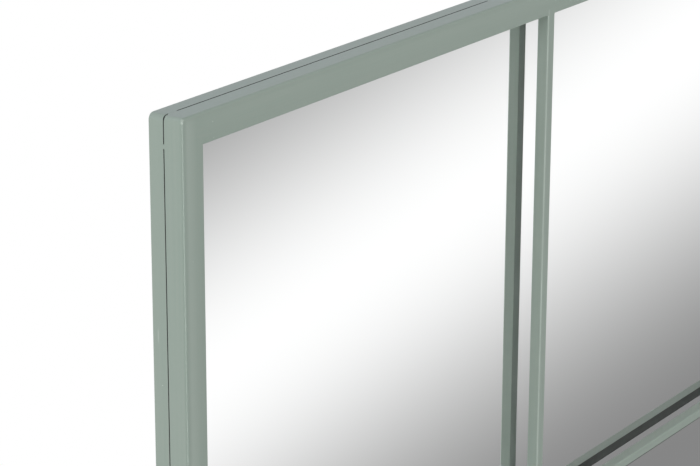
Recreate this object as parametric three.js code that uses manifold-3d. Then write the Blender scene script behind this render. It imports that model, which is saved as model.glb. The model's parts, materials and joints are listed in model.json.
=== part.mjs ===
// Wall mirror in a welded steel window frame, with two columns and three rows of panes.
// Millimetres. X runs to the viewer's right, Y from the front towards the wall, Z up.
// The origin is the centre of the back: the rear frame and the back board end on Y = 0.
import * as THREE from 'three';
import { mergeVertices } from 'three/addons/utils/BufferGeometryUtils.js';
import Module from 'manifold-3d';

const wasm = await Module();
wasm.setup();

// ---------------------------------------------------------------- driving dimensions

// Panes, as seen from the front.
const columns = 2;
const rows = 3;
const paneWidth = 406.3;
const paneHeight = 392;

// Front frame: a steel tube with its wide side to the front, mitred at the corners.
const faceWidth = 20.4;
const frontDepth = 13.8;
const tubeWall = 1;
const arrisRadius = 1.5;
const openingArris = 0.5;
const frontCornerRadius = 2.5;

// Rear frame: a narrower tube behind the front one, flush with it on the outside.
const rearWidth = 12;
const rearDepth = 11.4;
const rearCornerRadius = 4.5;
const seamGap = 0.3;

// Glazing bars, flush with the front of the frame.
const mullionFace = 9;
const transomFace = 8;
const barDepth = 8.8;
const barFrontArris = 1.2;
const barBackArris = 0.4;

// What is left open at a welded joint, and between two sheets that lie on each other.
const weldGap = 0.1;
const layerGap = 0.1;

// Layers in the rebate behind the front frame. The packing sheet fills what the others leave.
const tapeThickness = 0.8;
const tapeWidth = 6;
const tapeInset = 1;
const glassThickness = 3;
const boardThickness = 3.2;
const sheetClearance = 1;

// Screws, all of one size: pan heads that cut their own thread in the rear tube.
const screwRadius = 1.6;
const screwLength = 9;
const screwTip = 2.5;
const screwHeadRadius = 3.4;
const screwHeadHeight = 2.2;
const screwClearance = 0.3;

// Turn buttons that hold the back board in.
const buttonThickness = 1.2;
const buttonHeadRadius = 5;
const buttonTipRadius = 3.5;
const buttonReach = 18;
const buttonSeatGap = 0.3;
const buttonRibLength = 11;
const buttonRibWidth = 3.2;
const buttonRibHeight = 0.7;
const stileButtonInset = 250;
const railButtonInset = 210;

// Strap hangers, each a folded strip with a D-ring in its roll.
const hangerDrop = 330;
const hangerInset = 7.4;
const strapWidth = 8;
const strapThickness = 1;
const strapLength = 40;
const strapUpperHole = 22;
const strapLowerHole = 33;
const wireRadius = 1.25;
const rollClearance = 0.3;
const ringSideClearance = 0.7;
const ringBend = 2;
const ringLeg = 8;
const ringRestGap = 0.3;

// Rubber bumpers that keep the bottom of the frame off the wall.
const bumperRadius = 5;
const bumperTopRadius = 4.2;
const bumperHeight = 5;
const bumperEdge = 1;
const bumperInset = 40;

// Facets.
const arcSegments = 3;
const arrisSegments = 3;
const turnSegments = 14;
const wireSegments = 44;
const wireSides = 10;

// ---------------------------------------------------------------- derived places

const halfWidth = faceWidth + (columns * paneWidth + (columns - 1) * mullionFace) / 2;
const halfHeight = faceWidth + (rows * paneHeight + (rows - 1) * transomFace) / 2;

const backY = 0;
const seamBackY = backY - rearDepth;
const seamFrontY = seamBackY - seamGap;
const frontY = seamFrontY - frontDepth;

const boardFrontY = backY - boardThickness;
const tapeFrontY = seamFrontY + layerGap;
const glassFrontY = tapeFrontY + tapeThickness + layerGap;
const glassBackY = glassFrontY + glassThickness;

const sheetHalfWidth = halfWidth - rearWidth - sheetClearance;
const sheetHalfHeight = halfHeight - rearWidth - sheetClearance;
const screwHoleRadius = screwRadius + screwClearance;
const railScrewInset = rearWidth / 2;

// ---------------------------------------------------------------- materials

function finish(color, roughness, metalness) {
  return new THREE.MeshStandardMaterial({ color, roughness, metalness });
}

const finishes = {
  sagePaint: () => finish(0x8f9c92, 0.42, 0),
  silvered: () => finish(0xf2f4f4, 0.02, 1),
  foam: () => finish(0xd8d8d2, 0.9, 0),
  card: () => finish(0xb59a72, 0.9, 0),
  hardboard: () => finish(0x7a5638, 0.75, 0),
  zinc: () => finish(0xb9bcc0, 0.35, 1),
  rubber: () => finish(0x26272a, 0.8, 0),
};

// ---------------------------------------------------------------- solids

// Merges the shared corners of a geometry and drops the triangles that this makes empty.
function welded(geometry) {
  const bare = geometry.index ? geometry.clone() : geometry;
  bare.deleteAttribute('normal');
  bare.deleteAttribute('uv');
  const merged = mergeVertices(bare, 1e-4);
  const kept = [];
  const index = merged.index.array;
  for (let i = 0; i < index.length; i += 3) {
    const [a, b, c] = [index[i], index[i + 1], index[i + 2]];
    if (a !== b && b !== c && c !== a) kept.push(a, b, c);
  }
  merged.setIndex(kept);
  return merged;
}

function toSolid(geometry) {
  const closed = welded(geometry);
  return new wasm.Manifold(new wasm.Mesh({
    numProp: 3,
    vertProperties: new Float32Array(closed.attributes.position.array),
    triVerts: new Uint32Array(closed.index.array),
  }));
}

function toGeometry(solid) {
  const mesh = solid.getMesh();
  const geometry = new THREE.BufferGeometry();
  geometry.setAttribute('position', new THREE.BufferAttribute(mesh.vertProperties, 3));
  geometry.setIndex(new THREE.BufferAttribute(mesh.triVerts, 1));
  geometry.computeVertexNormals();
  return geometry;
}

function rectangle(left, bottom, right, top) {
  return new THREE.Shape([
    new THREE.Vector2(left, bottom),
    new THREE.Vector2(right, bottom),
    new THREE.Vector2(right, top),
    new THREE.Vector2(left, top),
  ]);
}

function roundedRectangle(halfX, halfZ, radius) {
  const x = halfX - radius;
  const z = halfZ - radius;
  const shape = new THREE.Shape();
  shape.absarc(x, z, radius, 0, Math.PI / 2, false);
  shape.absarc(-x, z, radius, Math.PI / 2, Math.PI, false);
  shape.absarc(-x, -z, radius, Math.PI, 1.5 * Math.PI, false);
  shape.absarc(x, -z, radius, 1.5 * Math.PI, 2 * Math.PI, false);
  shape.closePath();
  return shape;
}

// Extrudes an outline in X and Z along Y, from one depth to another, with rounded edges.
function slab(shape, fromY, toY, edge = 0) {
  const geometry = new THREE.ExtrudeGeometry(shape, {
    depth: toY - fromY - 2 * edge,
    curveSegments: arcSegments,
    bevelEnabled: edge > 0,
    bevelThickness: edge,
    bevelSize: edge,
    bevelOffset: -edge,
    bevelSegments: arrisSegments,
  });
  geometry.rotateX(Math.PI / 2);
  geometry.translate(0, toY - edge, 0);
  return geometry;
}

// ---------------------------------------------------------------- mitred frames

// A rectangular ring of the outer size of the frame, less an inset all round. The arrises on its
// outside and round its opening are rounded apart from each other.
function ring(inset, width, cornerRadius, fromY, toY, outerArris, innerArris) {
  const outline = roundedRectangle(halfWidth - inset, halfHeight - inset, cornerRadius - inset);
  const openX = halfWidth - width + inset;
  const openZ = halfHeight - width + inset;
  const past = width;
  const surround = rectangle(-openX - past, -openZ - past, openX + past, openZ + past);
  surround.holes.push(rectangle(-openX, -openZ, openX, openZ));
  const outside = toSolid(slab(outline, fromY, toY, outerArris));
  return outside.intersect(toSolid(slab(surround, fromY, toY, innerArris)));
}

// The part of the frame that one tube fills: a wedge between the mitres at its two ends.
function mitreWedge(side, width, fromY, toY) {
  const gap = weldGap / Math.SQRT2;
  const inX = halfWidth - width;
  const inZ = halfHeight - width;
  const past = 1;
  const wedges = {
    top: [[inX - past - gap, inZ - past], [halfWidth + past - gap, halfHeight + past]],
    right: [[inX - past, inZ - past - gap], [halfWidth + past, halfHeight + past - gap]],
  };
  const opposite = { bottom: 'top', left: 'right' };
  const turn = side in opposite ? -1 : 1;
  const [[innerX, innerZ], [outerX, outerZ]] = wedges[opposite[side] ?? side];
  const across = opposite[side] === 'top' || side === 'top' ? [-1, 1] : [1, -1];
  const shape = new THREE.Shape([
    new THREE.Vector2(turn * innerX, turn * innerZ),
    new THREE.Vector2(turn * outerX, turn * outerZ),
    new THREE.Vector2(turn * across[0] * outerX, turn * across[1] * outerZ),
    new THREE.Vector2(turn * across[0] * innerX, turn * across[1] * innerZ),
  ]);
  return toSolid(slab(shape, fromY, toY));
}

// A frame of four hollow tubes. Its edges are rounded on the side that faces out of the object,
// and square where the front and the rear frame meet.
function frameTubes({ width, cornerRadius, innerArris, fromY, toY, roundedSide, holes = {} }) {
  const outFrom = roundedSide === 'front' ? fromY : fromY - 2 * arrisRadius;
  const outTo = roundedSide === 'front' ? toY + 2 * arrisRadius : toY;
  const outside = ring(0, width, cornerRadius, outFrom, outTo, arrisRadius, innerArris);
  const hollow = ring(tubeWall, width, cornerRadius, fromY + tubeWall, toY - tubeWall, 0, 0);
  const wall = outside.subtract(hollow);
  const tubes = {};
  for (const side of ['top', 'right', 'bottom', 'left']) {
    let tube = wall.intersect(mitreWedge(side, width, fromY, toY));
    for (const [x, z] of holes[side] ?? []) {
      tube = tube.subtract(screwHole(x, z, toY - 2 * tubeWall, toY + tubeWall));
    }
    tubes[side] = toGeometry(tube);
  }
  return tubes;
}

function screwHole(x, z, fromY, toY) {
  const hole = new THREE.CylinderGeometry(screwHoleRadius, screwHoleRadius, toY - fromY, turnSegments);
  hole.translate(x, (fromY + toY) / 2, z);
  return toSolid(hole);
}

// ---------------------------------------------------------------- bars and sheets

// A glazing bar of one face width, standing on Z = 0, with its front face on Y = 0.
function glazingBar(face, length) {
  const front = face / 2 - barFrontArris;
  const back = face / 2 - barBackArris;
  const backCentre = barDepth - barBackArris;
  const section = new THREE.Shape();
  section.absarc(front, barFrontArris, barFrontArris, -Math.PI / 2, 0, false);
  section.absarc(back, backCentre, barBackArris, 0, Math.PI / 2, false);
  section.absarc(-back, backCentre, barBackArris, Math.PI / 2, Math.PI, false);
  section.absarc(-front, barFrontArris, barFrontArris, Math.PI, 1.5 * Math.PI, false);
  section.closePath();
  return new THREE.ExtrudeGeometry(section, {
    depth: length,
    curveSegments: arcSegments - 1,
    bevelEnabled: false,
  });
}

function sheet(halfX, halfZ, fromY, toY) {
  return slab(rectangle(-halfX, -halfZ, halfX, halfZ), fromY, toY);
}

function tapeStrip(side) {
  const innerX = halfWidth - faceWidth + tapeInset;
  const innerZ = halfHeight - faceWidth + tapeInset;
  const outerX = innerX + tapeWidth;
  const outerZ = innerZ + tapeWidth;
  const endZ = innerZ - layerGap;
  const outlines = {
    top: rectangle(-outerX, innerZ, outerX, outerZ),
    bottom: rectangle(-outerX, -outerZ, outerX, -innerZ),
    left: rectangle(-outerX, -endZ, -innerX, endZ),
    right: rectangle(innerX, -endZ, outerX, endZ),
  };
  return slab(outlines[side], tapeFrontY, tapeFrontY + tapeThickness);
}

// ---------------------------------------------------------------- hardware

// A pan-head screw along Y, with the underside of its head on Y = 0 and its tip towards -Y.
function screw() {
  const dome = 0.45 * screwHeadHeight;
  const profile = [
    new THREE.Vector2(0, -screwLength),
    new THREE.Vector2(screwRadius, screwTip - screwLength),
    new THREE.Vector2(screwRadius, 0),
    new THREE.Vector2(screwHeadRadius, 0),
    new THREE.Vector2(screwHeadRadius, screwHeadHeight - dome),
    new THREE.Vector2(0.75 * screwHeadRadius, screwHeadHeight - 0.3 * dome),
    new THREE.Vector2(0, screwHeadHeight),
  ];
  return welded(new THREE.LatheGeometry(profile, turnSegments));
}

// A turn button, flat on Y = 0, with its screw hole at the origin and its finger along -Z.
function turnButton() {
  const lean = Math.asin((buttonHeadRadius - buttonTipRadius) / buttonReach);
  const outline = new THREE.Shape();
  outline.absarc(0, 0, buttonHeadRadius, -lean, Math.PI + lean, false);
  outline.absarc(0, -buttonReach, buttonTipRadius, Math.PI + lean, 2 * Math.PI - lean, false);
  outline.closePath();
  const hole = new THREE.Path();
  hole.absarc(0, 0, screwHoleRadius, 0, 2 * Math.PI, true);
  outline.holes.push(hole);
  const plate = toSolid(slab(outline, 0, buttonThickness));
  const rib = new THREE.SphereGeometry(1, turnSegments, turnSegments / 2);
  rib.scale(buttonRibWidth / 2, buttonRibHeight, buttonRibLength / 2);
  const ribStart = screwHeadRadius + 2 * screwClearance;
  rib.translate(0, buttonThickness, -ribStart - buttonRibLength / 2);
  return toGeometry(plate.add(toSolid(rib)));
}

const rollBore = wireRadius + rollClearance;
const rollRadius = rollBore + strapThickness;
const ringAxisY = rollRadius;
const foldThickness = 2 * strapThickness;
const ringHalfWidth = strapWidth / 2 + ringSideClearance + wireRadius;
const ringReach = ringLeg + ringHalfWidth;
const ringLean = Math.asin((foldThickness + ringRestGap + wireRadius - ringAxisY) / ringReach);

// The folded strip of a hanger, flat on Y = 0, with the centre of its roll on Z = 0.
function hangerStrap() {
  const profile = new THREE.Shape();
  const returnAngle = -Math.acos((foldThickness - rollRadius) / rollRadius);
  profile.moveTo(0, -strapLength);
  profile.lineTo(0, 0);
  profile.absarc(rollRadius, 0, rollRadius, Math.PI, returnAngle, true);
  profile.lineTo(foldThickness, -strapLength);
  profile.closePath();
  const bore = new THREE.Path();
  bore.absarc(rollRadius, 0, rollBore, 0, 2 * Math.PI, false);
  profile.holes.push(bore);
  const strip = new THREE.ExtrudeGeometry(profile, {
    depth: strapWidth,
    curveSegments: 2 * arcSegments,
    bevelEnabled: false,
  });
  strip.translate(0, 0, -strapWidth / 2);
  const [x, y, z] = [new THREE.Vector3(1, 0, 0), new THREE.Vector3(0, 1, 0), new THREE.Vector3(0, 0, 1)];
  strip.applyMatrix4(new THREE.Matrix4().makeBasis(y, z, x));

  const side = strapWidth / 2;
  const plan = new THREE.Shape();
  plan.moveTo(side, 2 * rollRadius);
  plan.lineTo(-side, 2 * rollRadius);
  plan.absarc(0, side - strapLength, side, Math.PI, 2 * Math.PI, false);
  plan.closePath();
  let strap = toSolid(strip).intersect(toSolid(slab(plan, -1, 3 * rollRadius)));
  for (const drop of [strapUpperHole, strapLowerHole]) {
    strap = strap.subtract(screwHole(0, -drop, -1, foldThickness + 1));
  }
  return toGeometry(strap);
}

// A D-ring with its straight side on the X axis, leaning back until it rests on the strap.
function hangerRing() {
  const route = new THREE.Path();
  const bendX = ringHalfWidth - ringBend;
  route.moveTo(-bendX, 0);
  route.lineTo(bendX, 0);
  route.absarc(bendX, -ringBend, ringBend, Math.PI / 2, 0, true);
  route.lineTo(ringHalfWidth, -ringLeg);
  route.absarc(0, -ringLeg, ringHalfWidth, 0, -Math.PI, true);
  route.lineTo(-ringHalfWidth, -ringBend);
  route.absarc(-bendX, -ringBend, ringBend, Math.PI, Math.PI / 2, true);
  const points = route.getSpacedPoints(wireSegments).slice(0, -1);
  const centreline = new THREE.CatmullRomCurve3(points.map((p) => new THREE.Vector3(p.x, 0, p.y)), true);
  const wire = new THREE.TubeGeometry(centreline, wireSegments, wireRadius, wireSides, true);
  wire.rotateX(ringLean);
  return welded(wire);
}

// A rubber bumper, glued flat on Y = 0.
function bumper() {
  const profile = [
    new THREE.Vector2(0, 0),
    new THREE.Vector2(bumperRadius, 0),
    new THREE.Vector2(bumperTopRadius, bumperHeight - bumperEdge),
    new THREE.Vector2(bumperTopRadius - 0.3 * bumperEdge, bumperHeight - 0.3 * bumperEdge),
    new THREE.Vector2(bumperTopRadius - bumperEdge, bumperHeight),
    new THREE.Vector2(0, bumperHeight),
  ];
  return welded(new THREE.LatheGeometry(profile, turnSegments));
}

// ---------------------------------------------------------------- places on the back

// Where each turn button sits, and the turn about Y that points its finger at the board.
function buttonPlaces() {
  const stileX = halfWidth - railScrewInset;
  const railZ = halfHeight - railScrewInset;
  const stileZ = halfHeight - stileButtonInset;
  const railX = halfWidth - railButtonInset;
  return [
    { name: 'top_1', side: 'top', x: -railX, z: railZ, turn: 0 },
    { name: 'top_2', side: 'top', x: railX, z: railZ, turn: 0 },
    { name: 'right_1', side: 'right', x: stileX, z: stileZ, turn: Math.PI / 2 },
    { name: 'right_2', side: 'right', x: stileX, z: 0, turn: Math.PI / 2 },
    { name: 'right_3', side: 'right', x: stileX, z: -stileZ, turn: Math.PI / 2 },
    { name: 'bottom_1', side: 'bottom', x: -railX, z: -railZ, turn: Math.PI },
    { name: 'bottom_2', side: 'bottom', x: railX, z: -railZ, turn: Math.PI },
    { name: 'left_1', side: 'left', x: -stileX, z: stileZ, turn: -Math.PI / 2 },
    { name: 'left_2', side: 'left', x: -stileX, z: 0, turn: -Math.PI / 2 },
    { name: 'left_3', side: 'left', x: -stileX, z: -stileZ, turn: -Math.PI / 2 },
  ];
}

function hangerPlaces() {
  const x = halfWidth - hangerInset;
  const z = halfHeight - hangerDrop;
  return [{ name: 'left', x: -x, z }, { name: 'right', x, z }];
}

// The screw holes in each tube of the rear frame.
function rearHoles() {
  const holes = { top: [], right: [], bottom: [], left: [] };
  for (const { side, x, z } of buttonPlaces()) holes[side].push([x, z]);
  for (const { name, x, z } of hangerPlaces()) {
    holes[name].push([x, z - strapUpperHole], [x, z - strapLowerHole]);
  }
  return holes;
}

// ---------------------------------------------------------------- assembly

const group = new THREE.Group();
group.name = 'window_mirror';

function add(parent, name, geometry, material, position = [0, 0, 0], turn = 0) {
  const mesh = new THREE.Mesh(geometry, material());
  mesh.name = name;
  mesh.position.set(...position);
  mesh.rotation.y = turn;
  parent.add(mesh);
  return mesh;
}

const tubeKind = { top: 'rail', bottom: 'rail', left: 'stile', right: 'stile' };

function addFrame(prefix, tubes) {
  for (const [side, geometry] of Object.entries(tubes)) {
    add(group, `${prefix}_${tubeKind[side]}_${side}`, geometry, finishes.sagePaint);
  }
}

addFrame('front', frameTubes({
  width: faceWidth,
  cornerRadius: frontCornerRadius,
  innerArris: openingArris,
  fromY: frontY,
  toY: seamFrontY,
  roundedSide: 'front',
}));
addFrame('rear', frameTubes({
  width: rearWidth,
  cornerRadius: rearCornerRadius,
  innerArris: arrisRadius,
  fromY: seamBackY,
  toY: backY,
  roundedSide: 'back',
  holes: rearHoles(),
}));

// Mullions run from rail to rail, and transoms are cut to fit between them.
const openHalfWidth = halfWidth - faceWidth;
const openHalfHeight = halfHeight - faceWidth;
for (let column = 1; column < columns; column += 1) {
  const x = -openHalfWidth + column * (paneWidth + mullionFace) - mullionFace / 2;
  const length = 2 * (openHalfHeight - weldGap);
  const bar = glazingBar(mullionFace, length);
  add(group, `mullion_${column}`, bar, finishes.sagePaint, [x, frontY, -length / 2]);
}
for (let row = 1; row < rows; row += 1) {
  for (let column = 1; column <= columns; column += 1) {
    const length = paneWidth - 2 * weldGap;
    const left = -openHalfWidth + (column - 1) * (paneWidth + mullionFace) + weldGap;
    const z = openHalfHeight - row * (paneHeight + transomFace) + transomFace / 2;
    const bar = glazingBar(transomFace, length).rotateY(Math.PI / 2);
    add(group, `transom_${row}_${column}`, bar, finishes.sagePaint, [left, frontY, z]);
  }
}

for (const side of ['top', 'right', 'bottom', 'left']) {
  add(group, `foam_tape_${side}`, tapeStrip(side), finishes.foam);
}
add(group, 'mirror_glass', sheet(sheetHalfWidth, sheetHalfHeight, glassFrontY, glassBackY), finishes.silvered);
add(
  group,
  'packing_sheet',
  sheet(sheetHalfWidth, sheetHalfHeight, glassBackY + layerGap, boardFrontY - layerGap),
  finishes.card,
);
add(group, 'back_board', sheet(sheetHalfWidth, sheetHalfHeight, boardFrontY, backY), finishes.hardboard);

for (const { name, x, z, turn } of buttonPlaces()) {
  const place = new THREE.Group();
  place.position.set(x, backY + buttonSeatGap, z);
  group.add(place);
  const headY = buttonThickness + screwClearance;
  add(place, `turn_button_${name}`, turnButton(), finishes.zinc, [0, 0, 0], turn);
  add(place, `button_screw_${name}`, screw(), finishes.zinc, [0, headY, 0]);
}

for (const { name, x, z } of hangerPlaces()) {
  const place = new THREE.Group();
  place.position.set(x, backY, z);
  group.add(place);
  const headY = foldThickness + screwClearance;
  add(place, `hanger_strap_${name}`, hangerStrap(), finishes.zinc);
  add(place, `hanger_ring_${name}`, hangerRing(), finishes.zinc, [0, ringAxisY, 0]);
  add(place, `hanger_screw_${name}_upper`, screw(), finishes.zinc, [0, headY, -strapUpperHole]);
  add(place, `hanger_screw_${name}_lower`, screw(), finishes.zinc, [0, headY, -strapLowerHole]);
}

const bumperX = halfWidth - bumperInset;
const bumperZ = -halfHeight + railScrewInset;
add(group, 'wall_bumper_left', bumper(), finishes.rubber, [-bumperX, backY, bumperZ]);
add(group, 'wall_bumper_right', bumper(), finishes.rubber, [bumperX, backY, bumperZ]);

export default group;
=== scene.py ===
import json
import math

import bmesh
import bpy
from mathutils import Matrix, Vector


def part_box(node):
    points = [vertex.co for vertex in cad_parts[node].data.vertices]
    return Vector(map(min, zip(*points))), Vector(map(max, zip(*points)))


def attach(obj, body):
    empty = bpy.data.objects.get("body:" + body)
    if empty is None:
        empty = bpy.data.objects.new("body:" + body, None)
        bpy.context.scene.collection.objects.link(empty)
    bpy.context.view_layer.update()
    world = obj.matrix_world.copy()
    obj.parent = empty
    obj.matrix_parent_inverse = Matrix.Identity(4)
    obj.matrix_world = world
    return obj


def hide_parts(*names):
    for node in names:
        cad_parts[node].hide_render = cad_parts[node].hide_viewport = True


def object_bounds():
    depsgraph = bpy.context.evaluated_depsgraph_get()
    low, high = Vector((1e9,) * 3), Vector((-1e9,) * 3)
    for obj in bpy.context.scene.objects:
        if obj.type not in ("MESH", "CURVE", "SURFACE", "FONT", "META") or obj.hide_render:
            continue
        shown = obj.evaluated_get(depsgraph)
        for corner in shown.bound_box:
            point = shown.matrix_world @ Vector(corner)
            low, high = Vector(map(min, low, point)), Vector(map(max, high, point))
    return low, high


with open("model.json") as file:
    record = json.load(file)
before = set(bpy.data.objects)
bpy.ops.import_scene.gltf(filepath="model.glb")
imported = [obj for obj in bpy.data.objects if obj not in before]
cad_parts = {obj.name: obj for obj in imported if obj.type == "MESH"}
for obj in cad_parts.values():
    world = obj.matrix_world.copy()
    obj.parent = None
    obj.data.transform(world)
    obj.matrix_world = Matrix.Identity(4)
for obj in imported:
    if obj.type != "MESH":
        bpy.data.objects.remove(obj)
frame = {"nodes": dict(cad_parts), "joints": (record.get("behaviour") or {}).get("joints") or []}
cad_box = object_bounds()
MM = 0.001


# ---------------------------------------- places, read from the CAD nodes

def around(*names):
    """Lowest and highest corner of several CAD nodes together, in mm."""
    boxes = [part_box(name) for name in names]
    low = [min(b[0][i] for b in boxes) / MM for i in range(3)]
    high = [max(b[1][i] for b in boxes) / MM for i in range(3)]
    return low, high


SIDES = ("top", "bottom", "left", "right")
FRONT_NODES = ["front_rail_top", "front_rail_bottom", "front_stile_left", "front_stile_right"]
REAR_NODES = ["rear_rail_top", "rear_rail_bottom", "rear_stile_left", "rear_stile_right"]
front_low, front_high = around(*FRONT_NODES)
rear_low, rear_high = around(*REAR_NODES)
HALF_W = front_high[0]
HALF_H = front_high[2]
FRONT_Y, FRONT_BACK_Y = front_low[1], front_high[1]
SEAM_Y, BACK_Y = rear_low[1], rear_high[1]
FACE = around("front_rail_top")[1][2] - around("front_rail_top")[0][2]
REAR_FACE = around("rear_rail_top")[1][2] - around("rear_rail_top")[0][2]
SEAM_MIDDLE = (FRONT_BACK_Y + SEAM_Y) / 2
TRANSOMS = [name for name in frame["nodes"] if name.startswith("transom_")]
ROWS = sorted({round(around(name)[0][2], 2) for name in TRANSOMS})
BAR_BACK_Y = around(*TRANSOMS)[1][1]


# ---------------------------------------- shader helpers

class Nodes:
    """Short calls for building a node tree."""

    def __init__(self, tree):
        self.tree = tree

    def put(self, socket, value):
        if isinstance(value, bpy.types.NodeSocket):
            self.tree.links.new(value, socket)
        elif value is not None:
            socket.default_value = value

    def add(self, kind, out=0, inputs=None, **settings):
        node = self.tree.nodes.new(kind)
        for key, value in settings.items():
            setattr(node, key, value)
        for key, value in (inputs or {}).items():
            self.put(node.inputs[key], value)
        return node.outputs[out]

    def math(self, operation, a, b=None):
        node = self.tree.nodes.new("ShaderNodeMath")
        node.operation = operation
        for socket, value in zip(node.inputs, (a, b)):
            self.put(socket, value)
        return node.outputs[0]

    def times(self, a, b):
        return self.math("MULTIPLY", a, b)

    def plus(self, a, b):
        return self.math("ADD", a, b)

    def minus(self, a, b):
        return self.math("SUBTRACT", a, b)

    def most(self, a, b):
        return self.math("MAXIMUM", a, b)

    def least(self, a, b):
        return self.math("MINIMUM", a, b)

    def size(self, a):
        return self.math("ABSOLUTE", a)

    def over(self, a, b):
        return self.math("GREATER_THAN", a, b)

    def under(self, a, b):
        return self.math("LESS_THAN", a, b)

    def vector(self, operation, a, b=None, out=0):
        node = self.tree.nodes.new("ShaderNodeVectorMath")
        node.operation = operation
        self.put(node.inputs[0], a)
        self.put(node.inputs[1], b)
        return node.outputs[out]

    def span(self, value, low, high, to_low=0.0, to_high=1.0, smooth=False):
        kind = "SMOOTHSTEP" if smooth else "LINEAR"
        return self.add(
            "ShaderNodeMapRange",
            inputs={0: value, 1: low, 2: high, 3: to_low, 4: to_high},
            interpolation_type=kind,
        )

    def mix(self, factor, a, b):
        node = self.tree.nodes.new("ShaderNodeMix")
        node.data_type = "RGBA"
        self.put(node.inputs[0], factor)
        self.put(node.inputs[6], a)
        self.put(node.inputs[7], b)
        return node.outputs[2]

    def noise(self, vector, scale, detail=2.0, rough=0.5):
        return self.add(
            "ShaderNodeTexNoise",
            inputs={"Vector": vector, "Scale": scale, "Detail": detail, "Roughness": rough},
        )

    def scaled(self, vector, factors):
        return self.vector("MULTIPLY", vector, factors)

    def split(self, vector):
        """The X, Y and Z of a vector."""
        node = self.tree.nodes.new("ShaderNodeSeparateXYZ")
        self.put(node.inputs[0], vector)
        return node.outputs


def rgb(red, green, blue):
    return (red, green, blue, 1.0)


class Material(Nodes):
    """A procedural material round one Principled shader."""

    def __init__(self, name, roughness=0.5, metallic=0.0):
        self.material = bpy.data.materials.new(name)
        self.material.use_nodes = True
        super().__init__(self.material.node_tree)
        self.shader = self.tree.nodes["Principled BSDF"]
        self.shader.inputs["Roughness"].default_value = roughness
        self.shader.inputs["Metallic"].default_value = metallic
        self.place = self.add("ShaderNodeTexCoord", out=3)
        self.surface = self.add("ShaderNodeTexCoord", out=2)

    def colour(self, value):
        self.put(self.shader.inputs["Base Color"], value)

    def roughness(self, value):
        self.put(self.shader.inputs["Roughness"], value)

    def apart(self, where, factors):
        """How far the surface is from a place in metres, each axis counted by its factor."""
        offset = self.vector("SUBTRACT", self.place, where)
        return self.vector("LENGTH", self.scaled(offset, factors), out=1)

    def cells(self, scale):
        """Voronoi cells: the distance to the nearest one's point, and its colour."""
        node = self.tree.nodes.new("ShaderNodeTexVoronoi")
        self.put(node.inputs["Vector"], self.place)
        node.inputs["Scale"].default_value = scale
        return node.outputs[0], node.outputs[1]

    def bump(self, height, distance, strength):
        normal = self.add(
            "ShaderNodeBump",
            inputs={"Strength": strength, "Distance": distance, "Height": height},
        )
        self.put(self.shader.inputs["Normal"], normal)


# ---------------------------------------- materials

# The marks in the paint that the photograph shows: place and radius in metres, and strength.
PAINT_MARKS_AND_HIGHLIGHT = [
    # The first two marks are a painted highlight: the bright top end of the left stile's front
    # arris.
    ((-0.4300, -0.0248, 0.6149), 0.0013, 0.45),
    ((-0.4304, -0.0248, 0.6136), 0.0012, 0.45),
    ((-0.4012, -0.0255, 0.6081), 0.0007, 0.55),
    ((-0.4004, -0.0255, 0.5979), 0.0006, 0.40),
    ((-0.4225, -0.0255, 0.5253), 0.0006, 0.50),
    ((0.0041, -0.0252, 0.3195), 0.0009, 0.95),
]
# Also in metres: a scratch, the mullion's front arris with its painted highlight, where that
# ends in the top rail, and how far from the middle the transoms begin.
SCRATCH = (-0.4312, -0.0045, 0.4762)
MULLION_ARRIS = (-0.00415, -0.02515, 0.0)
MULLION_ARRIS_END = (-0.0040, -0.0255, 0.5979)
MULLION_CLEAR = 0.0048
# Cells for the specks in a metre.
SPECK_CELLS = 72.0
PAINT_LOW, PAINT_HIGH = rgb(0.252, 0.322, 0.276), rgb(0.292, 0.349, 0.305)
# Pale, for dust specks and marks, and for painted highlights, sheen and light on the transoms'
# tops.
PALE_SPECKS_AND_HIGHLIGHTS = rgb(0.52, 0.58, 0.53)
# Near black, for painted shade on the transoms' backs and lower front edges.
PAINTED_SHADE = rgb(0.02, 0.025, 0.021)
# Near black in the seam: bare steel, and painted shade over the seam's rounded edges.
SEAM_BARE_STEEL_AND_SHADE = rgb(0.020, 0.023, 0.021)


def pale_spots(m):
    """Dust under the paint, the marks, two of which are a painted highlight, and a faint scratch on
    the side of the rear tube.
    """
    # A few pale specks, one in about eight cells of 14 mm.
    distance, colour = m.cells(SPECK_CELLS)
    picked = m.over(m.add("ShaderNodeSeparateColor", inputs={0: colour}), 0.87)
    pale = m.times(picked, m.span(distance, 0.020, 0.034, 1.0, 0.0))
    # The marks, two of them a painted highlight.
    for where, radius, strength in PAINT_MARKS_AND_HIGHLIGHT:
        distance = m.vector("DISTANCE", m.place, where, out=1)
        spot = m.span(distance, radius * 0.4, radius, 1.0, 0.0, smooth=True)
        pale = m.most(pale, m.times(spot, strength))
    scratch = m.span(m.apart(SCRATCH, (1.0, 1.0, 0.10)), 0.0003, 0.0006, 1.0, 0.0)
    return m.most(pale, m.times(scratch, 0.35))


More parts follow.
